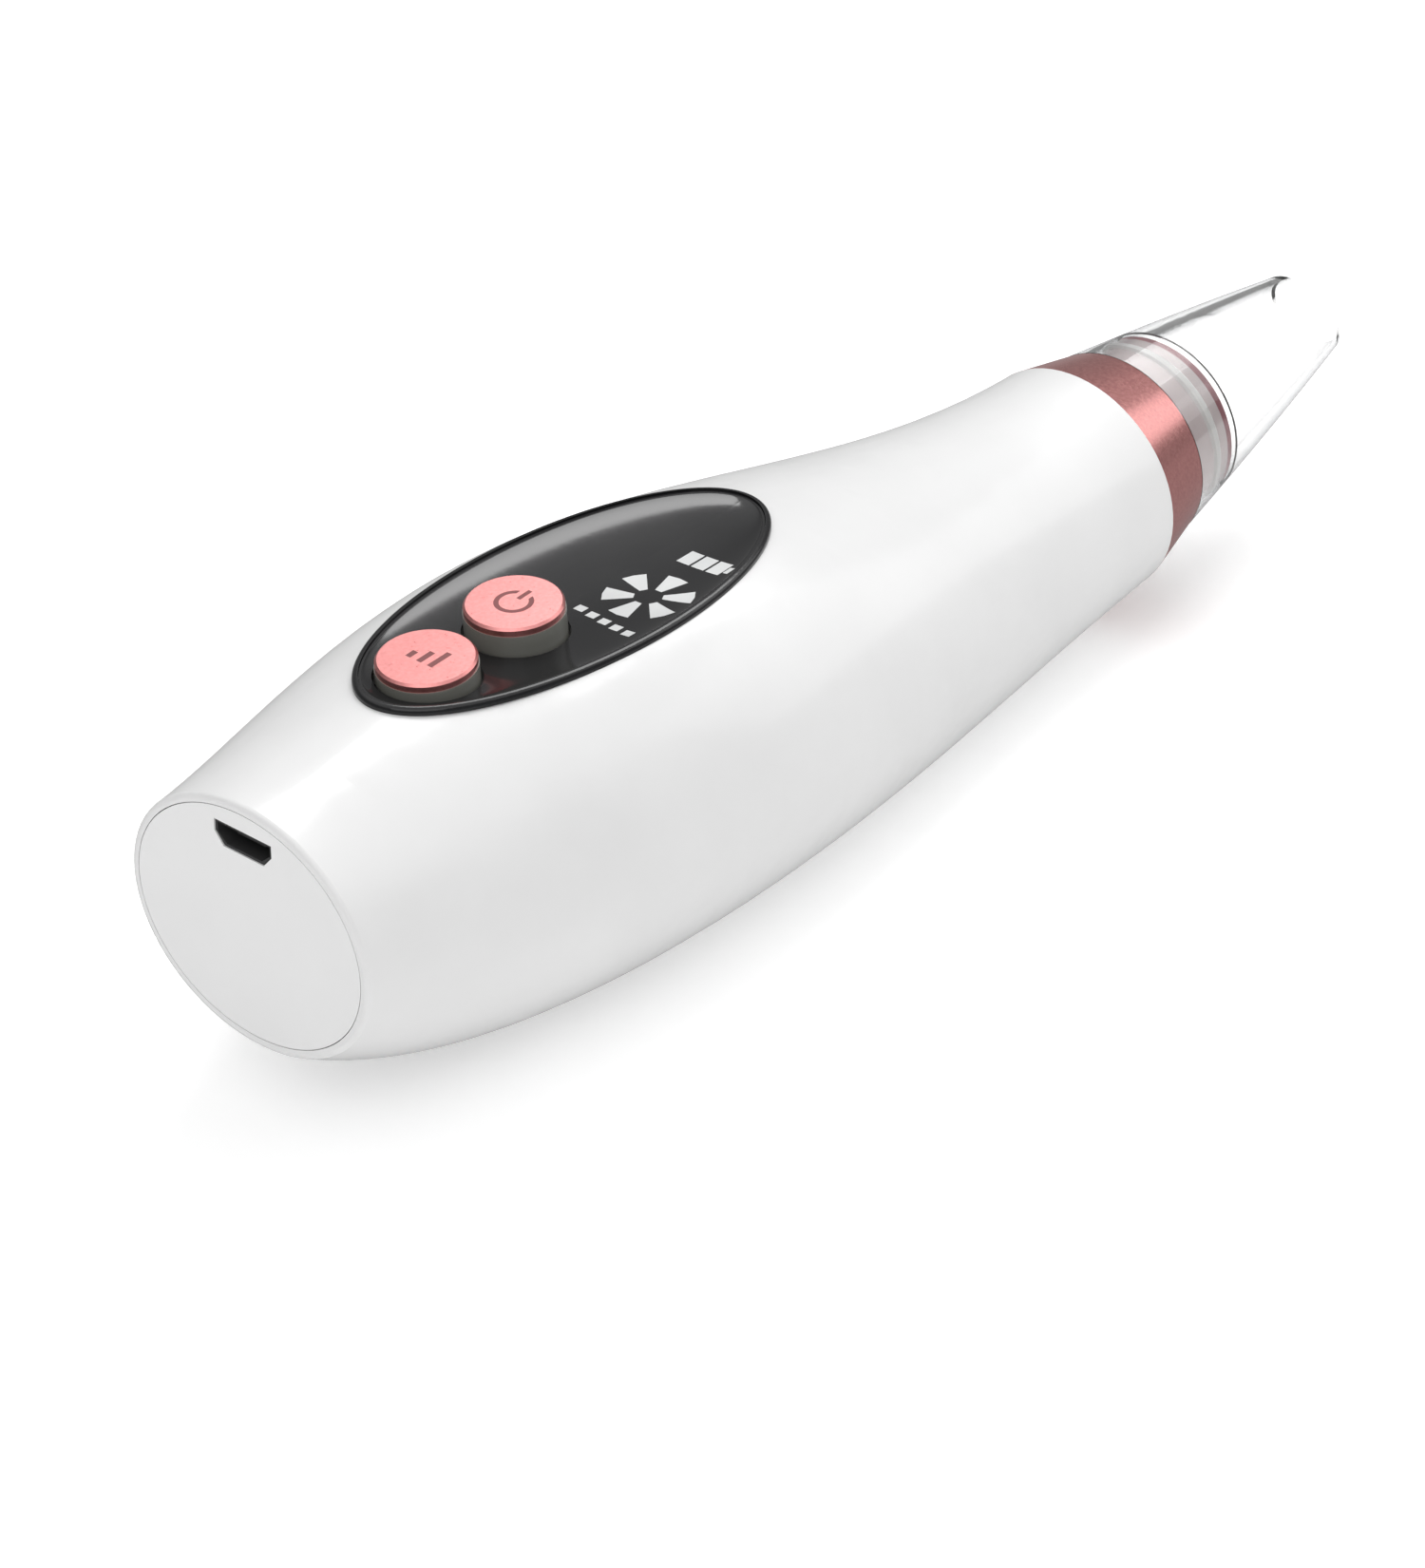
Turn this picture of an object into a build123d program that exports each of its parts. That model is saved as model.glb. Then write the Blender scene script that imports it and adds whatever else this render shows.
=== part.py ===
from build123d import *
import math
import os

# Hand-held blackhead vacuum extractor, lying on its belly with its control panel up.
# +X points to the suction tip, +Z points up, and the surface it lies on is Z = 0.
# All sizes are in millimetres.

# ---- driving dimensions -------------------------------------------------------------
tail_x = -91.0            # flat end face
neck_run = 134.5          # end face to the neck, where the white housing stops
wall = 2.0                # housing wall

# Oval sections of the housing: distance from the end face, top, belly and half width.
tail_section = (0.0, 37.0, 9.0, 16.6)
hip_section = (30.0, 41.9, 0.5, 23.4)
crest_section = (54.0, 42.8, 0.06, 25.0)
waist_section = (80.0, 39.3, 0.6, 22.4)
throat_section = (110.0, 34.1, 1.8, 17.0)
neck_radius = 14.4
neck_z = 18.7
front_pitch = 5.5         # degrees, the nose axis rises towards the tip

# End cap, set into the housing's tail
tail_rim = 0.9
tail_edge_radius = 0.6
cap_gap = 0.1
cap_thickness = 1.8
skirt_inset = 2.3
skirt_wall = 1.4
skirt_length = 5.0
port_width = 8.0
port_height = 2.8
port_chamfer = 1.2
port_z = 32.7
socket_setback = 0.15
socket_gap = 0.05
socket_metal = 0.3

# Control panel: a level facet cut across the crest of the housing
facet_z = 40.0
bezel_top_z = 40.8
bezel_lip = 0.8
bezel_edge_radius = 0.5
bezel_edge_gap = 0.1
lens_top_z = 40.6
lens_bottom_z = 38.5
lens_gap = 0.05
dish_depth = 1.0
dish_margin = 0.3
shelf_bottom_z = 36.8
ledge_width = 2.2
panel_middle_x = tail_x + 47.1
panel_half_length = 29.05
panel_half_width = 12.7
inlay_depth = 0.6

# Display marks, printed on the +X part of the lens and to its -Y side
marks_y = -5.6
ring_x = tail_x + 53.4
petal_count = 6
petal_reach = 4.9
petal_start = 1.6
petal_spread = 32.0       # degrees
gauge_x = tail_x + 62.3
gauge_length = 7.0
gauge_width = 2.6
dash_x = tail_x + 46.6
dash_count = 5
dash_pitch = 1.9

# Push buttons
button_radius = 5.25
button_tilt = 4.0         # degrees, the caps rise towards the tip
button_cap_thickness = 0.9
button_skirt_radius = 5.35
button_hole_gap = 0.3
button_travel = 0.5
power_top = (tail_x + 39.1, 0.0, 43.2)
level_top = (tail_x + 26.2, 0.0, 42.4)
flange_radius = 6.05
flange_thickness = 0.8
flange_drop = 0.6
stem_radius = 1.2
stem_length = 1.5
symbol_depth = 0.25

# Nose: distances along the pitched nose axis from the neck
collar_length = 8.4
collar_front_radius = 12.4
sleeve_length = 6.0
sleeve_radius = 12.2
spigot_radius = 9.0
spigot_front = 16.2
spigot_flange_radius = 10.6
nipple_radius = 1.9
air_bore = 1.2
ring_length = 1.2
seal_start = 13.0
seal_width = 1.6
seal_radius = 9.3
recess_radius = 4.0
recess_start = 13.2
tip_gap = 0.1
tip_bore_radius = 9.45
tip_shoulder = 18.0
tip_base = collar_length + tip_gap
mouth_distance = 45.7
mouth_radius = 5.8
mouth_wall = 1.1
tip_swell = 0.2           # the tip's sides stand this far outside a straight cone
mouth_tilt = 14.5         # degrees, the mouth is cut oblique to the nose axis

# Inner works
tray_bottom_z = 23.5
tray_thickness = 1.5
tray_half_width = 12.0
tray_front_x = -9.5
board_bottom_z = 30.1
board_thickness = 1.2
board_front_x = -14.0
post_spots = [(x, y) for x in (-72.0, -18.0) for y in (-10.0, 10.0)]
post_radius = 1.8
screw_radius = 0.9
screw_head_radius = 1.7
screw_head_height = 1.1
board_tab_half_width = 7.0
board_tab_front_x = -78.0
cell_radius = 7.0
cell_length = 48.5
cell_rear_x = -83.9
cell_z = 15.9
cell_button_radius = 2.6
cell_button_height = 1.0
tab_half_width = 2.5
tab_thickness = 0.3
clip_width = 6.0
clip_wall = 1.4
clip_rear_x = -76.0
clip_front_x = -48.0
wire_radius = 0.6
pump_z = 17.2
motor_radius = 9.8
motor_rear_x = -30.0
motor_front_x = -8.0
can_wall = 0.8
boss_radius = 3.0
boss_length = 1.5
magnet_thickness = 1.0
magnet_rear_x = -26.0
magnet_front_x = -12.0
bell_thickness = 2.5
terminal_y = 5.0
armature_radius = 7.5
armature_rear_x = -25.0
armature_front_x = -13.0
commutator_radius = 3.2
commutator_length = 3.5
clamp_wall = 1.6
clamp_rear_x = -27.0
clamp_front_x = -18.0
shaft_radius = 1.0
running_gap = 0.05
pump_radius = 11.0
pump_base_front_x = 6.0
diaphragm_thickness = 1.4
valve_thickness = 1.4
pump_head_front_x = 13.0
nozzle_end_x = 19.0
crank_radius = 4.5
crank_rear_x = -5.0
crank_front_x = -1.0
crank_offset = 2.5
pin_radius = 0.9
pin_length = 2.8
pump_cavity_radius = 8.4
plate_radius = 7.0
plate_rear_x = 2.2
plate_front_x = 3.4
cup_circle = 4.5
cup_radius = 2.6
cup_bore = 1.7
cup_rear_x = 4.4
valve_hole_radius = 0.6
nozzle_bore = 0.9
hose_radius = 2.9
screw_circle = 9.8
pump_screw_radius = 0.8
pump_screw_hole = 0.85
pump_screw_head_radius = 1.4
pump_screw_rear_x = 1.5

# ---- derived places -----------------------------------------------------------------
nose_rise = math.sin(math.radians(front_pitch))
nose_run = math.cos(math.radians(front_pitch))
nose = Plane(origin=(tail_x + neck_run, 0, neck_z), x_dir=(0, 1, 0), z_dir=(nose_run, 0, nose_rise))
tail_middle_z = (tail_section[1] + tail_section[2]) / 2
tail_half_height = (tail_section[1] - tail_section[2]) / 2
tail_half_width = tail_section[3]
skirt_end_x = tail_x + cap_thickness + skirt_length
socket_end_x = tail_x + 6.0
tray_top_z = tray_bottom_z + tray_thickness
board_top_z = board_bottom_z + board_thickness
cell_front_x = cell_rear_x + cell_length
shaft_front_x = crank_front_x - 0.2
lens_inset = bezel_lip + lens_gap
window_inset = bezel_lip + ledge_width
diaphragm_x = pump_base_front_x
valve_x = diaphragm_x + diaphragm_thickness
pump_head_x = valve_x + valve_thickness


# ---- helpers ------------------------------------------------------------------------
def block(low, high):
    """Box from its lowest to its highest corner."""
    size = [b - a for a, b in zip(low, high)]
    middle = [(a + b) / 2 for a, b in zip(low, high)]
    return Pos(*middle) * Box(*size)


def rod_x(radius, start_x, end_x, y=0.0, z=pump_z):
    """Round rod along X."""
    return Pos((start_x + end_x) / 2, y, z) * Rot(0, 90, 0) * Cylinder(radius, end_x - start_x)


def rod_z(radius, low_z, high_z, x, y):
    """Round rod along Z."""
    return Pos(x, y, (low_z + high_z) / 2) * Cylinder(radius, high_z - low_z)


def turned(*corners):
    """Solid turned about the nose axis from (radius, distance) corners."""
    profile = make_face(Polyline(*[(radius, 0, run) for radius, run in corners], close=True))
    return nose.location * revolve(profile, Axis.Z)


def oval_body(inset):
    """The housing's outer form, made smaller all round by inset."""
    sections = []
    for run, top, belly, half_width in (
        tail_section, hip_section, crest_section, waist_section, throat_section
    ):
        plane = Plane(origin=(tail_x + run, 0, (top + belly) / 2), x_dir=(0, 1, 0), z_dir=(1, 0, 0))
        sections.append(plane * Ellipse(half_width - inset, (top - belly) / 2 - inset))
    sections.append(nose * Circle(neck_radius - inset))
    return loft(sections)


def tail_oval(x, inset):
    """The end face's oval at x, inset from the housing's edge."""
    return Plane.YZ.offset(x) * Pos(0, tail_middle_z) * Ellipse(
        tail_half_width - inset, tail_half_height - inset
    )


def panel_prism(low_z, high_z, inset):
    """Upright prism on the panel's oval, inset from its edge."""
    oval = Plane.XY.offset(low_z) * Pos(panel_middle_x, 0) * Ellipse(
        panel_half_length - inset, panel_half_width - inset
    )
    return extrude(oval, high_z - low_z, dir=(0, 0, 1))


def button_frame(top):
    """Frame of a button: origin on the cap's face, +Z out of it, +Y towards the tail."""
    tilt = math.radians(button_tilt)
    return Plane(origin=top, x_dir=(0, 1, 0), z_dir=(-math.sin(tilt), 0, math.cos(tilt)))


def button_rod(top, radius, low, high):
    """Rod on a button's axis, from low to high above the cap's face."""
    return button_frame(top).location * Pos(0, 0, (low + high) / 2) * Cylinder(radius, high - low)


def flange_level(top):
    """Where a button's hidden flange begins, below its cap's face."""
    return lens_bottom_z - flange_drop - top[2]


def stem_end(top):
    """Where a button's stem ends, below its cap's face."""
    return flange_level(top) - flange_thickness - stem_length


# ---- housing and end cap ------------------------------------------------------------
def make_housing(outer):
    """One-piece tube shell with the panel facet, the lens ledge and button clearances."""
    shell = outer - oval_body(wall)
    reach = panel_half_length + 4
    shell += outer & block(
        (panel_middle_x - reach, -40, shelf_bottom_z), (panel_middle_x + reach, 40, facet_z)
    )
    shell -= block((tail_x - 10, -40, facet_z), (60, 40, 60))
    shell -= panel_prism(lens_bottom_z, facet_z + 1, bezel_lip)
    shell -= panel_prism(shelf_bottom_z - 1, facet_z, window_inset)
    for top in (power_top, level_top):
        shell -= button_rod(top, flange_radius + 0.5, -8.0, 0.0)
    shell -= extrude(tail_oval(tail_x - 1, tail_rim), cap_thickness + 1, dir=(1, 0, 0))
    rim = shell.edges().group_by(Axis.X)[0].sort_by(SortBy.LENGTH)[-1]
    return fillet(rim, tail_edge_radius)


def port_prism(inset, start_x, end_x):
    """Prism of the charging socket's outline: a shallow bowl with its wide side up."""
    half_top = port_width / 2 - inset
    half_bottom = half_top - port_chamfer
    half_height = port_height / 2 - inset
    corners = [
        (-half_bottom, -half_height),
        (half_bottom, -half_height),
        (half_top, 0),
        (half_top, half_height),
        (-half_top, half_height),
        (-half_top, 0),
    ]
    outline = Plane.YZ.offset(start_x) * Pos(0, port_z) * Polygon(*corners, align=None)
    return extrude(outline, end_x - start_x, dir=(1, 0, 0))


def make_end_cap():
    """Oval plate with a skirt inside the housing and the charging port's opening."""
    cap = extrude(tail_oval(tail_x, tail_rim + cap_gap), cap_thickness, dir=(1, 0, 0))
    skirt_x = tail_x + cap_thickness
    skirt = tail_oval(skirt_x, skirt_inset) - tail_oval(skirt_x, skirt_inset + skirt_wall)
    cap += extrude(skirt, skirt_length, dir=(1, 0, 0))
    cap -= block((skirt_x, -7.5, board_bottom_z - 1), (skirt_end_x + 1, 7.5, 40))
    return cap - port_prism(0, tail_x - 1, skirt_x + 1)


def make_socket_shell():
    """Folded metal shell of the charging socket, standing on the board."""
    start_x = tail_x + socket_setback
    shell = port_prism(socket_gap, start_x, socket_end_x)
    return shell - port_prism(socket_gap + socket_metal, start_x - 1, socket_end_x - socket_metal)


def make_socket_tongue():
    """Contact tongue in the charging socket."""
    return block((tail_x + 1.2, -2.0, port_z - 0.1), (socket_end_x - socket_metal, 2.0, port_z + 0.5))


# ---- control panel ------------------------------------------------------------------
def make_bezel():
    """Black frame round the lens, standing on the housing's facet."""
    frame = panel_prism(facet_z, bezel_top_z, bezel_edge_gap)
    rim = frame.edges().group_by(Axis.Z)[-1][0]
    frame = fillet(rim, bezel_edge_radius)
    return frame - panel_prism(facet_z - 1, bezel_top_z + 1, bezel_lip)


def make_lens_blank():
    """Dished display lens, before its holes and marks are cut."""
    lens = panel_prism(lens_bottom_z, lens_top_z, lens_inset)
    margin = lens_inset + dish_margin
    dish = scale(
        Sphere(1.0),
        by=(panel_half_length - margin, panel_half_width - margin, dish_depth),
    )
    return lens - Pos(panel_middle_x, 0, lens_top_z) * dish


def make_lens(blank, marks):
    """Display lens with its two button holes and a pocket for every mark."""
    lens = blank
    for top in (power_top, level_top):
        lens -= button_rod(top, button_skirt_radius + button_hole_gap, -8.0, 1.0)
    for mark in marks:
        lens -= mark_prism(mark)
    return lens


def mark_prism(sketch):
    """Upright prism that cuts one printed mark into the lens."""
    low_z = lens_top_z - dish_depth - inlay_depth
    return extrude(Plane.XY.offset(low_z) * sketch, 4, dir=(0, 0, 1))


def petal_marks():
    """Six petals in a ring, each wider towards its outer end."""
    half_spread = math.radians(petal_spread / 2)
    inner, outer = [
        (reach * math.cos(half_spread), reach * math.sin(half_spread)) for reach in (petal_start, petal_reach)
    ]
    tip = (petal_reach, 0)
    petal = make_face(Polyline(inner, outer, tip, (outer[0], -outer[1]), (inner[0], -inner[1]), close=True))
    step = 360 / petal_count
    return [Pos(ring_x, marks_y) * Rot(0, 0, step * i) * petal for i in range(petal_count)]


def gauge_marks():
    """Charge gauge: three cells and a terminal nub, across the panel."""
    cell = (gauge_length - 1.0) / 3
    marks = []
    for i in range(3):
        y = marks_y + (i - 1) * cell
        marks.append(Pos(gauge_x, y) * Rectangle(gauge_width, cell - 0.3))
    nub_y = marks_y - 1.5 * cell - 0.3
    marks.append(Pos(gauge_x, nub_y) * Rectangle(gauge_width * 0.5, 0.6))
    return marks


def dash_marks():
    """Row of short dashes between the ring and the power button."""
    marks = []
    for i in range(dash_count):
        step = i - (dash_count - 1) / 2
        x = dash_x + 0.3 * step
        marks.append(Pos(x, marks_y + dash_pitch * step) * Rectangle(1.1, 1.2))
    return marks


def make_inlays(blank, marks):
    """Thin inlays that lie flush in the lens."""
    return Compound(children=[(blank & mark_prism(mark)).solids()[0] for mark in marks])


def make_light_guide():
    """Clear diffuser under the marks' part of the lens."""
    guide = panel_prism(shelf_bottom_z, lens_bottom_z, window_inset + 0.3)
    return guide & block((power_top[0] + 7.5, -20, 30), (20, 20, 50))


# ---- push buttons -------------------------------------------------------------------
def power_symbol():
    """Open ring with a bar through its gap, on the cap's face."""
    ring = Circle(2.1) - Circle(1.55) - Pos(0, -1.8) * Rectangle(1.7, 2.0)
    return [ring, Pos(0, -1.6) * Rectangle(0.55, 1.9)]


def level_symbol():
    """Three rising bars, on the cap's face."""
    return [Pos(1.5 - 1.5 * i, 0.5 - 0.45 * i) * Rectangle(0.7, 1.2 + 0.9 * i) for i in range(3)]


def symbol_prisms(top, sketches):
    """Prisms that cut a symbol into a cap."""
    frame = button_frame(top).location
    return [frame * extrude(Pos(0, 0, -symbol_depth) * sketch, symbol_depth + 1) for sketch in sketches]


def make_button(top, sketches):
    """Metallic cap, its symbol inlay, and the grey skirt with flange and stem."""
    blank = button_rod(top, button_radius, -button_cap_thickness, 0.0)
    normal = button_frame(top).z_dir
    blank = chamfer(blank.edges().sort_by(lambda e: e.center().dot(normal))[-1], 0.25)
    cap = blank
    inlays = []
    for prism in symbol_prisms(top, sketches):
        inlays += (blank & prism).solids()
        cap -= prism
    flange_top = flange_level(top)
    flange_end = flange_top - flange_thickness
    skirt = button_rod(top, button_skirt_radius, flange_top, -button_cap_thickness)
    skirt += button_rod(top, flange_radius, flange_end, flange_top)
    skirt += button_rod(top, stem_radius, stem_end(top), flange_end)
    return cap, Compound(children=inlays), skirt


def make_switch(top):
    """Tactile switch on the board; its plunger stops one travel short of the stem."""
    tilt = math.radians(button_tilt)
    x = top[0] - stem_end(top) * math.sin(tilt)
    plunger_z = top[2] + stem_end(top) * math.cos(tilt) - button_travel - 0.2
    body_z = plunger_z - 0.9
    switch = block((x - 3, -3, board_top_z), (x + 3, 3, body_z))
    return switch + rod_z(1.6, body_z, plunger_z, x, 0)


# ---- nose ---------------------------------------------------------------------------
def make_collar():
    """Tapered metallic collar with a sleeve that plugs into the housing."""
    bore = spigot_radius
    pocket = spigot_flange_radius
    return turned(
        (bore, -1), (bore, collar_length), (collar_front_radius, collar_length), (neck_radius, 0),
        (sleeve_radius, 0), (sleeve_radius, -sleeve_length), (pocket, -sleeve_length), (pocket, -1),
    )


def make_spigot():
    """Seat for the suction tip: flange, hose nipple, seal groove and filter recess."""
    groove_radius = seal_radius - 1.1
    seal_end = seal_start + seal_width
    return turned(
        (air_bore, -8), (nipple_radius, -8), (nipple_radius, -3), (spigot_flange_radius, -3),
        (spigot_flange_radius, -1), (spigot_radius, -1), (spigot_radius, seal_start),
        (groove_radius, seal_start), (groove_radius, seal_end), (spigot_radius, seal_end),
        (spigot_radius, spigot_front), (recess_radius, spigot_front),
        (recess_radius, recess_start), (air_bore, recess_start),
    )


def make_seal():
    """Silicone ring that seals the suction tip on its spigot."""
    groove_radius = seal_radius - 1.1
    seal_end = seal_start + seal_width
    return turned(
        (groove_radius, seal_start), (groove_radius, seal_end),
        (spigot_radius, seal_end), (seal_radius, seal_end - 0.4),
        (seal_radius, seal_start + 0.4), (spigot_radius, seal_start),
    )


def make_spigot_ring():
    """Metallic ring on the spigot's front face."""
    front = spigot_front + ring_length
    return turned(
        (recess_radius, spigot_front), (spigot_radius, spigot_front),
        (spigot_radius, front - 0.3), (spigot_radius - 0.3, front), (recess_radius, front),
    )


def make_filter():
    """Round sponge that stops oil and skin flakes."""
    radius = recess_radius - 0.1
    front = spigot_front + 0.8
    return turned((0, recess_start), (radius, recess_start), (radius, front), (0, front))


def tip_radius(run):
    """Outer radius of the suction tip at a distance along the nose axis."""
    share = (run - tip_base) / (mouth_distance - tip_base)
    straight = collar_front_radius + share * (mouth_radius - collar_front_radius)
    return straight + 4 * tip_swell * share * (1 - share)


def make_suction_tip():
    """Clear conical tip: swelling sides, bore over the spigot, inner cone and oblique mouth."""
    end = mouth_distance + 3.0
    middle = (tip_base + mouth_distance) / 2
    mouth_bore = mouth_radius - mouth_wall
    bore_slope = (spigot_radius - mouth_bore) / (mouth_distance - tip_shoulder)
    end_bore = mouth_bore - bore_slope * (end - mouth_distance)
    side = ThreePointArc(*[(tip_radius(run), 0, run) for run in (tip_base, middle, end)])
    inside = Polyline(
        (tip_radius(end), 0, end), (end_bore, 0, end), (spigot_radius, 0, tip_shoulder),
        (tip_bore_radius, 0, tip_shoulder), (tip_bore_radius, 0, tip_base),
        (collar_front_radius, 0, tip_base),
    )
    tip = nose.location * revolve(make_face([side, inside]), Axis.Z)
    cutter = Pos(0, 0, mouth_distance) * Rot(-mouth_tilt, 0, 0) * Pos(0, 0, 10) * Box(40, 40, 20)
    return tip - nose.location * cutter


# ---- inner works --------------------------------------------------------------------
def make_tray():
    """Sled that carries the cell, the motor clamp and the board on four posts."""
    low = (skirt_end_x, -tray_half_width, tray_bottom_z)
    tray = block(low, (tray_front_x, tray_half_width, tray_top_z))
    tray -= block((-36, -8, tray_bottom_z - 1), (tray_front_x + 1, 8, tray_top_z + 1))
    for x, y in post_spots:
        tray += rod_z(post_radius, tray_top_z, board_bottom_z, x, y)
        tray -= rod_z(screw_radius, tray_top_z, board_bottom_z + 1, x, y)
    return tray


def make_board():
    """Circuit board with a narrow tab that carries the charging socket."""
    low = (board_tab_front_x, -tray_half_width, board_bottom_z)
    board = block(low, (board_front_x, tray_half_width, board_top_z))
    tab_low = (tail_x + 2.5, -board_tab_half_width, board_bottom_z)
    board += block(tab_low, (board_tab_front_x, board_tab_half_width, board_top_z))
    for x, y in post_spots:
        board -= rod_z(screw_radius, board_bottom_z - 1, board_top_z + 1, x, y)
    return board


def make_board_screws():
    """Four pan-head screws that hold the board on the tray's posts."""
    screws = []
    for x, y in post_spots:
        shank = rod_z(screw_radius, tray_top_z + 0.5, board_top_z, x, y)
        head = rod_z(screw_head_radius, board_top_z, board_top_z + screw_head_height, x, y)
        screws.append(shank + head)
    return Compound(children=[screw.solids()[0] for screw in screws])


def make_leds():
    """Small lamps on the board under the marks."""
    angles = [math.radians(360 / petal_count * i) for i in range(petal_count)]
    spots = [(ring_x + 3 * math.cos(a), marks_y + 3 * math.sin(a)) for a in angles]
    spots += [(gauge_x, marks_y + 2.2 * i) for i in (-1, 0, 1)]
    top_z = board_top_z + 0.7
    lamps = [block((x - 0.8, y - 0.5, board_top_z), (x + 0.8, y + 0.5, top_z)) for x, y in spots]
    return Compound(children=lamps)


def make_cradle(start_x):
    """Clip that hangs the cell under the tray."""
    end_x = start_x + clip_width
    clip = rod_x(cell_radius + clip_wall, start_x, end_x, z=cell_z)
    clip += block((start_x, -5, cell_z + 5), (end_x, 5, tray_bottom_z))
    clip -= rod_x(cell_radius, start_x - 1, end_x + 1, z=cell_z)
    return clip & block((start_x, -20, 0), (end_x, 20, tray_bottom_z))


def make_cell():
    """Cylindrical lithium cell with its raised positive button."""
    button_x = cell_front_x - cell_button_height
    cell = rod_x(cell_radius, cell_rear_x, button_x, z=cell_z)
    return cell + rod_x(cell_button_radius, button_x, cell_front_x, z=cell_z)


def make_cell_tabs():
    """Nickel tabs welded to the cell's two ends."""
    tabs = []
    for x in (cell_rear_x - tab_thickness, cell_front_x):
        low = (x, -tab_half_width, cell_z - 3)
        tabs.append(block(low, (x + tab_thickness, tab_half_width, cell_z + 6)))
    return Compound(children=tabs)


def make_clamp():
    """Saddle that holds the motor under the tray's two rails."""
    saddle = rod_x(motor_radius + clamp_wall, clamp_rear_x, clamp_front_x)
    low = (clamp_rear_x, -tray_half_width, tray_bottom_z - 2)
    saddle += block(low, (clamp_front_x, tray_half_width, tray_bottom_z))
    saddle -= rod_x(motor_radius, clamp_rear_x - 1, clamp_front_x + 1)
    saddle -= block((clamp_rear_x, -7, pump_z + 5), (clamp_front_x, 7, 40))
    return saddle & block((clamp_rear_x, -20, 0), (clamp_front_x, 20, tray_bottom_z))


def make_motor_can():
    """Drawn steel can with its front wall and bearing boss."""
    can = rod_x(motor_radius, motor_rear_x, motor_front_x)
    can -= rod_x(motor_radius - can_wall, motor_rear_x - 1, motor_front_x - 1)
    can += rod_x(boss_radius, motor_front_x, motor_front_x + boss_length)
    return can - rod_x(shaft_radius + running_gap, motor_rear_x, motor_front_x + 3)


def make_magnets():
    """Two arc magnets lining the can."""
    outer_radius = motor_radius - can_wall
    ring = rod_x(outer_radius, magnet_rear_x, magnet_front_x)
    ring -= rod_x(outer_radius - magnet_thickness, magnet_rear_x - 1, magnet_front_x + 1)
    ring -= block((magnet_rear_x - 1, -1.5, 0), (magnet_front_x + 1, 1.5, 40))
    return Compound(children=ring.solids())


def make_end_bell():
    """Plastic motor end with the rear bearing and two terminals."""
    bell_x = motor_rear_x - bell_thickness
    bell = rod_x(motor_radius, bell_x, motor_rear_x)
    bell -= rod_x(shaft_radius + running_gap, bell_x + 0.7, motor_rear_x + 1)
    for y in (-terminal_y, terminal_y):
        bell += block((bell_x - 1.5, y - 1, pump_z - 0.3), (bell_x, y + 1, pump_z + 0.3))
    return bell


def make_armature():
    """Wound rotor with its commutator, fixed on the shaft."""
    armature = rod_x(armature_radius, armature_rear_x, armature_front_x)
    armature += rod_x(commutator_radius, armature_rear_x - commutator_length, armature_rear_x)
    middle_x = (armature_rear_x + armature_front_x) / 2
    for i in range(3):
        slot = Pos(middle_x, 0, pump_z) * Rot(120 * i, 0, 0) * Pos(0, 0, 6) * Box(20, 1.6, 5)
        armature -= slot
    return armature - rod_x(shaft_radius, -40, 0)


def make_shaft():
    """Motor shaft, from the rear bearing into the crank disc."""
    return rod_x(shaft_radius, motor_rear_x - 1.5, shaft_front_x)


def make_eccentric():
    """Crank disc on the shaft with its offset pin."""
    crank = rod_x(crank_radius, crank_rear_x, crank_front_x)
    crank -= rod_x(shaft_radius, crank_rear_x - 1, shaft_front_x)
    return crank + rod_x(pin_radius, crank_front_x, crank_front_x + pin_length, y=crank_offset)


def ring_spots(circle, count, start=0.0):
    """Places round the pump axis as (y, z)."""
    spots = []
    for i in range(count):
        angle = math.radians(start + 360 * i / count)
        spots.append((circle * math.cos(angle), pump_z + circle * math.sin(angle)))
    return spots


def drill_screw_holes(piece):
    """Cut the four clearance holes of the pump screws."""
    for y, z in ring_spots(screw_circle, 4, 45):
        piece -= rod_x(pump_screw_hole, diaphragm_x - 1, pump_head_front_x + 1, y=y, z=z)
    return piece


def make_pump_base():
    """Cup that houses the crank, bolted round the motor's boss."""
    base = rod_x(pump_radius, motor_front_x, pump_base_front_x)
    base -= rod_x(pump_cavity_radius, motor_front_x + 2, pump_base_front_x + 1)
    base -= rod_x(boss_radius, motor_front_x - 1, motor_front_x + 3)
    for y, z in ring_spots(screw_circle, 4, 45):
        base -= rod_x(pump_screw_radius, 1, pump_base_front_x + 1, y=y, z=z)
    return base


def make_swing_plate():
    """Plate that the crank rocks, with a stem for each cup."""
    plate = rod_x(plate_radius, plate_rear_x, plate_front_x)
    for y, z in ring_spots(cup_circle, 3):
        plate += rod_x(pin_radius, plate_front_x, cup_rear_x, y=y, z=z)
    return plate


def make_diaphragm():
    """Rubber diaphragm with three pumping cups."""
    sheet = rod_x(pump_radius, diaphragm_x, valve_x)
    for y, z in ring_spots(cup_circle, 3):
        sheet += rod_x(cup_radius, cup_rear_x, diaphragm_x, y=y, z=z)
        sheet -= rod_x(cup_bore, cup_rear_x + 0.8, valve_x + 1, y=y, z=z)
    return drill_screw_holes(sheet)


def make_valve_plate():
    """Plate with an inlet hole over each cup."""
    plate = rod_x(pump_radius, valve_x, pump_head_x)
    for y, z in ring_spots(cup_circle, 3):
        plate -= rod_x(valve_hole_radius, valve_x - 1, pump_head_x + 1, y=y, z=z)
    return drill_screw_holes(plate)


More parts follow.
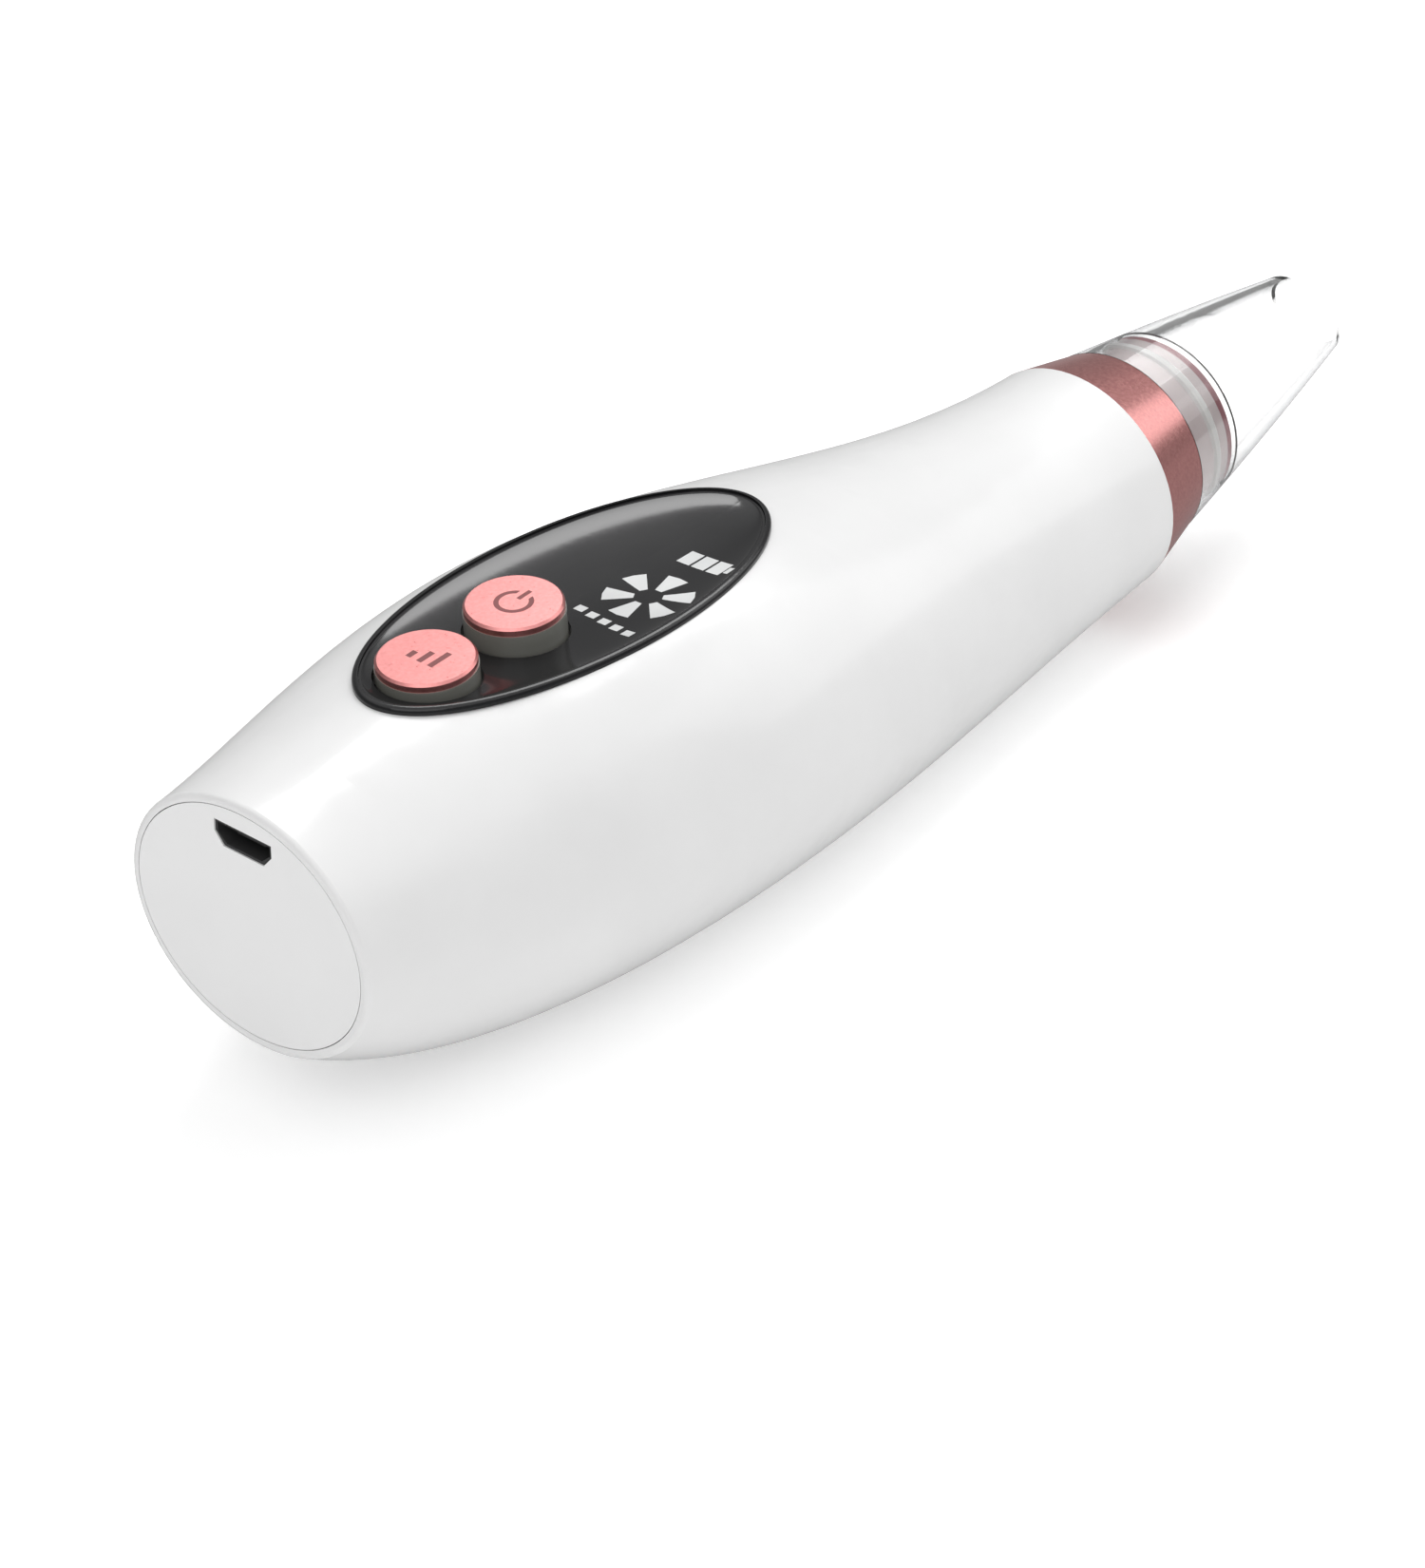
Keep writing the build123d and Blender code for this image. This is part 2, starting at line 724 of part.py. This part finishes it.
def make_pump_head():
    """Head with the suction nozzle."""
    head = rod_x(pump_radius, pump_head_x, pump_head_front_x)
    head -= rod_x(plate_radius, pump_head_x - 1, pump_head_x + 1.5)
    head += rod_x(nipple_radius, pump_head_front_x, nozzle_end_x)
    head -= rod_x(nozzle_bore, pump_head_x, nozzle_end_x + 1)
    return drill_screw_holes(head)


def make_pump_screws():
    """Four long screws that clamp the pump's layers."""
    screws = []
    head_end_x = pump_head_front_x + 1
    for y, z in ring_spots(screw_circle, 4, 45):
        shank = rod_x(pump_screw_radius, pump_screw_rear_x, pump_head_front_x, y=y, z=z)
        screws.append(shank + rod_x(pump_screw_head_radius, pump_head_front_x, head_end_x, y=y, z=z))
    return Compound(children=[screw.solids()[0] for screw in screws])


def make_air_tube():
    """Silicone hose from the pump nozzle to the spigot's nipple."""
    bend_run = -8.5
    hose_run = -3.1
    bend_x = nose.origin.X + bend_run * nose_run
    bend_z = nose.origin.Z + bend_run * nose_rise
    arc_x = bend_x - (bend_z - pump_z) / math.tan(math.radians(front_pitch / 2))
    start = (pump_head_front_x + 1.2, 0, pump_z)
    end = (nose.origin.X + hose_run * nose_run, 0, nose.origin.Z + hose_run * nose_rise)
    straight = Line(start, (arc_x, 0, pump_z))
    bend = TangentArc((arc_x, 0, pump_z), (bend_x, 0, bend_z), tangent=(1, 0, 0))
    path = Wire([straight.edge(), bend.edge(), Line((bend_x, 0, bend_z), end).edge()])
    section = Plane(origin=start, x_dir=(0, 1, 0), z_dir=(1, 0, 0))
    hose = sweep(section * Circle(hose_radius), path=path)
    return hose - sweep(section * Circle(nipple_radius + running_gap), path=path)


def make_leads():
    """Short wires from the cell and the motor up to the board."""
    clear = tab_thickness + wire_radius
    rear_lead = rod_z(wire_radius, cell_z, board_bottom_z, cell_rear_x - clear, 0)
    front_lead = rod_z(wire_radius, cell_z + 2, board_bottom_z, cell_front_x + clear, 0)
    motor_x = motor_rear_x - bell_thickness - 0.7
    motor_leads = [
        rod_z(wire_radius, pump_z + 0.3, board_bottom_z, motor_x, y) for y in (-terminal_y, terminal_y)
    ]
    return rear_lead, front_lead, Compound(children=motor_leads)


# ---- assembly -----------------------------------------------------------------------
def make_parts():
    """Every sub-part by its node name."""
    outer = oval_body(0)
    blank = make_lens_blank()
    marks = petal_marks() + gauge_marks() + dash_marks()
    power_cap, power_mark, power_skirt = make_button(power_top, power_symbol())
    level_cap, level_mark, level_skirt = make_button(level_top, level_symbol())
    rear_lead, front_lead, motor_leads = make_leads()
    return {
        "main_housing": make_housing(outer),
        "end_cap": make_end_cap(),
        "charging_socket_shell": make_socket_shell(),
        "charging_socket_tongue": make_socket_tongue(),
        "panel_bezel": make_bezel(),
        "display_lens": make_lens(blank, marks),
        "mode_petals": make_inlays(blank, petal_marks()),
        "charge_gauge": make_inlays(blank, gauge_marks()),
        "legend_dashes": make_inlays(blank, dash_marks()),
        "light_guide": make_light_guide(),
        "power_button_cap": power_cap,
        "power_button_symbol": power_mark,
        "power_button_skirt": power_skirt,
        "level_button_cap": level_cap,
        "level_button_symbol": level_mark,
        "level_button_skirt": level_skirt,
        "power_switch": make_switch(power_top),
        "level_switch": make_switch(level_top),
        "front_collar": make_collar(),
        "tip_spigot": make_spigot(),
        "spigot_seal": make_seal(),
        "spigot_ring": make_spigot_ring(),
        "filter_sponge": make_filter(),
        "suction_tip": make_suction_tip(),
        "inner_tray": make_tray(),
        "main_board": make_board(),
        "board_screws": make_board_screws(),
        "indicator_leds": make_leds(),
        "battery_cell": make_cell(),
        "battery_tabs": make_cell_tabs(),
        "battery_clip_rear": make_cradle(clip_rear_x),
        "battery_clip_front": make_cradle(clip_front_x),
        "battery_lead_rear": rear_lead,
        "battery_lead_front": front_lead,
        "motor_leads": motor_leads,
        "motor_clamp": make_clamp(),
        "motor_can": make_motor_can(),
        "motor_magnets": make_magnets(),
        "motor_end_bell": make_end_bell(),
        "motor_armature": make_armature(),
        "motor_shaft": make_shaft(),
        "crank_disc": make_eccentric(),
        "pump_base": make_pump_base(),
        "swing_plate": make_swing_plate(),
        "pump_diaphragm": make_diaphragm(),
        "valve_plate": make_valve_plate(),
        "pump_head": make_pump_head(),
        "pump_screws": make_pump_screws(),
        "air_hose": make_air_tube(),
    }


os.makedirs("parts", exist_ok=True)
for name, solid in make_parts().items():
    export_step(solid, f"parts/{name}.step")
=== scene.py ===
"""Looks of the hand-held blackhead vacuum extractor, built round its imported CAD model."""
import math

import bpy
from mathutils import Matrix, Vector

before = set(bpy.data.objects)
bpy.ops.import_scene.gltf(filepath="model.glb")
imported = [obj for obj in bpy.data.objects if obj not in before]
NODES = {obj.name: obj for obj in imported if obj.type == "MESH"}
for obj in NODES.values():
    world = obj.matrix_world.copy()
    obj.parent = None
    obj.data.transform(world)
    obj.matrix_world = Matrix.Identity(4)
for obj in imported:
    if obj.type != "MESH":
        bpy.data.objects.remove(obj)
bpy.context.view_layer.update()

# ---- camera, stage and light values (metres, degrees and watts) -----------------------
VIEW_YAW = 41.1           # the camera looks this far round from +X towards +Y
VIEW_PITCH = 31.85        # and this far down
VIEW_DISTANCE = 0.530
VIEW_AIM = Vector((-0.0189, 0.0019, 0.0051))
LENS = 109.9              # focal length in millimetres, as is the sensor's width
SENSOR_WIDTH = 36.0
NEAR_CLIP = 0.01
FLOOR_HALF = 3.0
FLOOR_WHITE = (0.95, 0.95, 0.95)
FLOOR_IN_GLOSS = (0.07, 0.07, 0.07)
FLOOR_GLOW = 0.24         # the floor is a faintly lit table
DOME_TOP = (1.0, 1.0, 1.0)
DOME_SIDE = (0.25, 0.25, 0.25)
DOME_DIM_BELOW = 0.45     # as the sine of the elevation, as is the next one
DOME_FULL_ABOVE = 0.75

# ---- finish values (texture scales are per metre, bump heights in metres) --------------
DRIFT_SCALE = 60.0        # slow drift of a plastic's colour
DRIFT_RANGE = (0.35, 0.65)
GLOSS_SCALE = 240.0
GLOSS_SPREAD = 0.15       # share by which a plastic's roughness varies
SKIN_BUMP = 0.25
PLASTIC_IOR = 1.47
COAT_ROUGHNESS = 0.08
METAL_GRAIN = 2400.0
METAL_BRUSHED = 60.0      # the grain's scale along the brushing
METAL_RANGE = (0.3, 0.7)
METAL_SPREAD = 0.2
METAL_BUMP = 0.12
METAL_BUMP_HEIGHT = 0.000004
CLEAR_IOR = 1.49
CLEAR_EDGE_BLEND = 0.5
CLEAR_EDGE_RANGE = (0.55, 0.95)
CLEAR_GLOSS_SCALE = 300.0
CLEAR_SPREAD = 0.5
CLEAR_WAVE_SCALE = 120.0
CLEAR_BUMP = 0.05
CLEAR_BUMP_HEIGHT = 0.00002


# ---- node helpers ----------------------------------------------------------------------
def new_material(name):
    """Empty node material and its Principled shader."""
    material = bpy.data.materials.new(name)
    material.use_nodes = True
    tree = material.node_tree
    return material, tree, tree.nodes["Principled BSDF"]


def add_node(tree, kind, **values):
    """Node with the given inputs set; a name that isn't an input is a property."""
    node = tree.nodes.new(kind)
    for key, value in values.items():
        if key in node.inputs:
            node.inputs[key].default_value = value
        else:
            setattr(node, key, value)
    return node


def set_inputs(shader, **values):
    """Set shader inputs by name, with _ for a space."""
    for key, value in values.items():
        shader.inputs[key.replace("_", " ")].default_value = value


def noise(tree, scale, detail=3.0):
    """Noise over the object's own coordinates, in metres."""
    coords = add_node(tree, "ShaderNodeTexCoord")
    texture = add_node(tree, "ShaderNodeTexNoise", Scale=scale, Detail=detail)
    tree.links.new(coords.outputs["Object"], texture.inputs["Vector"])
    return texture.outputs["Fac"]


def ramp(tree, source, start, end, low, high):
    """Colour ramp from low to high as source goes from start to end."""
    node = add_node(tree, "ShaderNodeValToRGB")
    node.color_ramp.elements[0].position = start
    node.color_ramp.elements[0].color = (*low, 1)
    node.color_ramp.elements[1].position = end
    node.color_ramp.elements[1].color = (*high, 1)
    tree.links.new(source, node.inputs["Fac"])
    return node.outputs["Color"]


def vary_roughness(tree, shader, source, rough, spread):
    """Roughness from rough less its spread to rough plus its spread, as source goes from 0 to 1."""
    node = add_node(tree, "ShaderNodeMapRange")
    node.inputs["To Min"].default_value = rough * (1 - spread)
    node.inputs["To Max"].default_value = rough * (1 + spread)
    tree.links.new(source, node.inputs["Value"])
    tree.links.new(node.outputs["Result"], shader.inputs["Roughness"])


def bump(tree, shader, source, strength, height):
    """Bump from a texture, with its height in metres."""
    node = add_node(tree, "ShaderNodeBump", Strength=strength, Distance=height)
    tree.links.new(source, node.inputs["Height"])
    tree.links.new(node.outputs["Normal"], shader.inputs["Normal"])


def plastic(name, dark, light, rough, coat=0.0, grain=900.0, grain_height=0.00001):
    """Moulded plastic: faint colour drift, uneven gloss and a fine moulded skin."""
    material, tree, shader = new_material(name)
    color = ramp(tree, noise(tree, DRIFT_SCALE), *DRIFT_RANGE, dark, light)
    tree.links.new(color, shader.inputs["Base Color"])
    vary_roughness(tree, shader, noise(tree, GLOSS_SCALE), rough, GLOSS_SPREAD)
    bump(tree, shader, noise(tree, grain, 2.0), SKIN_BUMP, grain_height)
    set_inputs(shader, IOR=PLASTIC_IOR, Coat_Weight=coat, Coat_Roughness=COAT_ROUGHNESS)
    return material


def metal(name, dark, light, rough, brush_axis=None):
    """Metallic finish; brush_axis, 0 to 2, stretches its grain along X, Y or Z."""
    material, tree, shader = new_material(name)
    coords = add_node(tree, "ShaderNodeTexCoord")
    stretch = [METAL_GRAIN] * 3
    if brush_axis is not None:
        stretch[brush_axis] = METAL_BRUSHED
    mapping = add_node(tree, "ShaderNodeMapping", Scale=stretch)
    grain = add_node(tree, "ShaderNodeTexNoise", Scale=1.0, Detail=2.0)
    tree.links.new(coords.outputs["Object"], mapping.inputs["Vector"])
    tree.links.new(mapping.outputs["Vector"], grain.inputs["Vector"])
    color = ramp(tree, grain.outputs["Fac"], *METAL_RANGE, dark, light)
    tree.links.new(color, shader.inputs["Base Color"])
    vary_roughness(tree, shader, grain.outputs["Fac"], rough, METAL_SPREAD)
    bump(tree, shader, grain.outputs["Fac"], METAL_BUMP, METAL_BUMP_HEIGHT)
    set_inputs(shader, Metallic=1.0)
    return material


def clear(name, facing, grazing, rough):
    """Clear moulded plastic, faintly wavy; it looks denser where it is seen edge on."""
    material, tree, shader = new_material(name)
    edge = add_node(tree, "ShaderNodeLayerWeight", Blend=CLEAR_EDGE_BLEND)
    color = ramp(tree, edge.outputs["Facing"], *CLEAR_EDGE_RANGE, facing, grazing)
    tree.links.new(color, shader.inputs["Base Color"])
    vary_roughness(tree, shader, noise(tree, CLEAR_GLOSS_SCALE), rough, CLEAR_SPREAD)
    bump(tree, shader, noise(tree, CLEAR_WAVE_SCALE, 1.0), CLEAR_BUMP, CLEAR_BUMP_HEIGHT)
    set_inputs(shader, IOR=CLEAR_IOR, Transmission_Weight=1.0)
    return material


# ---- materials -------------------------------------------------------------------------
MATERIALS = {
    "housing_white": plastic(
        "housing_white", (0.76, 0.76, 0.76), (0.785, 0.785, 0.785), 0.24, coat=0.3,
    ),
    "cap_white": plastic("cap_white", (0.79, 0.79, 0.79), (0.81, 0.81, 0.81), 0.42),
    "panel_black": plastic(
        "panel_black", (0.006, 0.006, 0.007), (0.010, 0.010, 0.011), 0.16, coat=0.1,
    ),
    "lens_black": plastic(
        "lens_black", (0.010, 0.010, 0.011), (0.016, 0.016, 0.017), 0.10, coat=0.25,
    ),
    "mark_grey": plastic("mark_grey", (0.52, 0.53, 0.53), (0.66, 0.67, 0.67), 0.35),
    "rose_metal": metal("rose_metal", (0.83, 0.36, 0.35), (0.92, 0.43, 0.41), 0.22),
    "rose_cap": metal("rose_cap", (0.74, 0.29, 0.28), (0.82, 0.34, 0.33), 0.30),
    "rose_ring": plastic("rose_ring", (0.30, 0.10, 0.12), (0.38, 0.14, 0.16), 0.35),
    "symbol_dark": plastic("symbol_dark", (0.16, 0.04, 0.04), (0.22, 0.06, 0.06), 0.5),
    "skirt_smoke": plastic("skirt_smoke", (0.16, 0.16, 0.14), (0.21, 0.21, 0.19), 0.3, coat=0.3),
    "tip_clear": clear("tip_clear", (0.99, 0.99, 0.99), (0.42, 0.43, 0.44), 0.02),
    "guide_clear": clear("guide_clear", (0.95, 0.96, 0.96), (0.80, 0.82, 0.83), 0.20),
    "seat_white": plastic("seat_white", (0.80, 0.79, 0.79), (0.86, 0.85, 0.85), 0.3),
    "seat_blush": plastic("seat_blush", (0.62, 0.54, 0.54), (0.70, 0.62, 0.62), 0.25, coat=0.3),
    "silicone": plastic("silicone", (0.82, 0.82, 0.80), (0.88, 0.88, 0.87), 0.45),
    "sponge": plastic(
        "sponge", (0.55, 0.60, 0.66), (0.80, 0.84, 0.88), 0.9, grain=2500.0, grain_height=0.0002,
    ),
    "steel": metal("steel", (0.50, 0.50, 0.51), (0.64, 0.64, 0.65), 0.3, brush_axis=0),
    "copper": metal("copper", (0.55, 0.24, 0.10), (0.80, 0.40, 0.20), 0.35, brush_axis=1),
    "black_plastic": plastic("black_plastic", (0.02, 0.02, 0.021), (0.035, 0.035, 0.036), 0.5),
    "board_green": plastic("board_green", (0.01, 0.09, 0.03), (0.02, 0.15, 0.06), 0.35),
    "cell_blue": plastic("cell_blue", (0.03, 0.10, 0.30), (0.05, 0.14, 0.38), 0.4),
    "wire_red": plastic("wire_red", (0.45, 0.02, 0.02), (0.55, 0.03, 0.03), 0.45),
    "wire_black": plastic("wire_black", (0.015, 0.015, 0.015), (0.03, 0.03, 0.03), 0.45),
    "rubber_black": plastic("rubber_black", (0.02, 0.02, 0.02), (0.05, 0.05, 0.05), 0.7),
}

FINISHES = {
    "housing_white": ["main_housing"],
    "cap_white": ["end_cap"],
    "panel_black": ["panel_bezel"],
    "lens_black": ["display_lens"],
    "mark_grey": ["mode_petals", "charge_gauge", "legend_dashes", "indicator_leds"],
    "rose_metal": ["front_collar"],
    "rose_ring": ["spigot_ring"],
    "rose_cap": ["power_button_cap", "level_button_cap"],
    "symbol_dark": ["power_button_symbol", "level_button_symbol"],
    "skirt_smoke": ["power_button_skirt", "level_button_skirt"],
    "tip_clear": ["suction_tip"],
    "guide_clear": ["light_guide"],
    "seat_blush": ["tip_spigot"],
    "seat_white": ["motor_end_bell", "crank_disc", "swing_plate", "valve_plate"],
    "silicone": ["spigot_seal", "air_hose"],
    "sponge": ["filter_sponge"],
    "steel": ["board_screws", "battery_tabs", "motor_can", "motor_shaft", "pump_screws"],
    "copper": ["motor_armature"],
    "black_plastic": [
        "charging_socket_shell", "charging_socket_tongue", "power_switch", "level_switch",
        "inner_tray", "battery_clip_rear", "battery_clip_front", "motor_clamp", "motor_magnets",
        "pump_base", "pump_head",
    ],
    "board_green": ["main_board"],
    "cell_blue": ["battery_cell"],
    "wire_red": ["battery_lead_front", "motor_leads"],
    "wire_black": ["battery_lead_rear"],
    "rubber_black": ["pump_diaphragm"],
}


def finish_nodes():
    """Give every CAD node its material."""
    for finish, names in FINISHES.items():
        for name in names:
            for slot in NODES[name].material_slots:
                slot.material = MATERIALS[finish]


# ---- stage -----------------------------------------------------------------------------
def reflected(tree):
    """1 for a ray that bounced off gloss, 0 for one that came straight or through glass."""
    path = add_node(tree, "ShaderNodeLightPath")
    node = add_node(tree, "ShaderNodeMath", operation="SUBTRACT", use_clamp=True)
    tree.links.new(path.outputs["Is Glossy Ray"], node.inputs[0])
    tree.links.new(path.outputs["Is Transmission Ray"], node.inputs[1])
    return node.outputs["Value"]


def make_floor():
    """White floor with a faint glow; reflections see it far darker than it is."""
    mesh = bpy.data.meshes.new("floor")
    corners = [(-1, -1), (1, -1), (1, 1), (-1, 1)]
    mesh.from_pydata([(x * FLOOR_HALF, y * FLOOR_HALF, 0) for x, y in corners], [], [(0, 1, 2, 3)])
    floor = bpy.data.objects.new("floor", mesh)
    bpy.context.scene.collection.objects.link(floor)
    material, tree, shader = new_material("floor_white")
    color = ramp(tree, reflected(tree), 0.0, 1.0, FLOOR_WHITE, FLOOR_IN_GLOSS)
    tree.links.new(color, shader.inputs["Base Color"])
    set_inputs(shader, Roughness=1.0, Specular_IOR_Level=0.0, Emission_Strength=FLOOR_GLOW)
    set_inputs(shader, Emission_Color=(1.0, 1.0, 1.0, 1.0))
    mesh.materials.append(material)


def make_world():
    """Studio dome: bright overhead, dim towards the horizon."""
    world = bpy.data.worlds.new("studio")
    bpy.context.scene.world = world
    world.use_nodes = True
    tree = world.node_tree
    background = tree.nodes["Background"]
    coords = add_node(tree, "ShaderNodeTexCoord")
    split = add_node(tree, "ShaderNodeSeparateXYZ")
    tree.links.new(coords.outputs["Generated"], split.inputs["Vector"])
    color = ramp(tree, split.outputs["Z"], DOME_DIM_BELOW, DOME_FULL_ABOVE, DOME_SIDE, DOME_TOP)
    tree.links.new(color, background.inputs["Color"])
    background.inputs["Strength"].default_value = 1.0


def direction(azimuth, elevation):
    """Unit vector at this azimuth, where 0 is +X and 90 is +Y, and this elevation."""
    turn, rise = math.radians(azimuth), math.radians(elevation)
    return Vector((
        math.cos(rise) * math.cos(turn),
        math.cos(rise) * math.sin(turn),
        math.sin(rise),
    ))


def area_light(name, azimuth, elevation, distance, width, height, power):
    """Rectangular soft light on a sphere round the object, turned to its middle."""
    light = bpy.data.lights.new(name, "AREA")
    light.shape = "RECTANGLE"
    light.size = width
    light.size_y = height
    light.energy = power
    lamp = bpy.data.objects.new(name, light)
    bpy.context.scene.collection.objects.link(lamp)
    lamp.location = distance * direction(azimuth, elevation)
    lamp.rotation_euler = lamp.location.to_track_quat("Z", "Y").to_euler()


def make_lights():
    """Large key above the tip, a card low on the tip's near side and a fill behind the tail."""
    area_light("key", 22, 58, distance=0.8, width=0.60, height=0.44, power=3.2)
    area_light("nose_card", -28, 30, distance=0.8, width=0.60, height=0.46, power=0.85)
    area_light("fill", -150, 35, distance=1.0, width=0.9, height=0.7, power=1.7)


def make_camera():
    """Camera above and behind the end cap, without roll, aimed just behind the middle."""
    forward = direction(VIEW_YAW, -VIEW_PITCH)
    data = bpy.data.cameras.new("camera")
    data.lens = LENS
    data.sensor_width = SENSOR_WIDTH
    data.clip_start = NEAR_CLIP
    camera = bpy.data.objects.new("camera", data)
    bpy.context.scene.collection.objects.link(camera)
    camera.location = VIEW_AIM - VIEW_DISTANCE * forward
    camera.rotation_euler = forward.to_track_quat("-Z", "Y").to_euler()
    bpy.context.scene.camera = camera


make_camera()
finish_nodes()
make_floor()
make_world()
make_lights()
bpy.context.scene.view_settings.view_transform = "Standard"
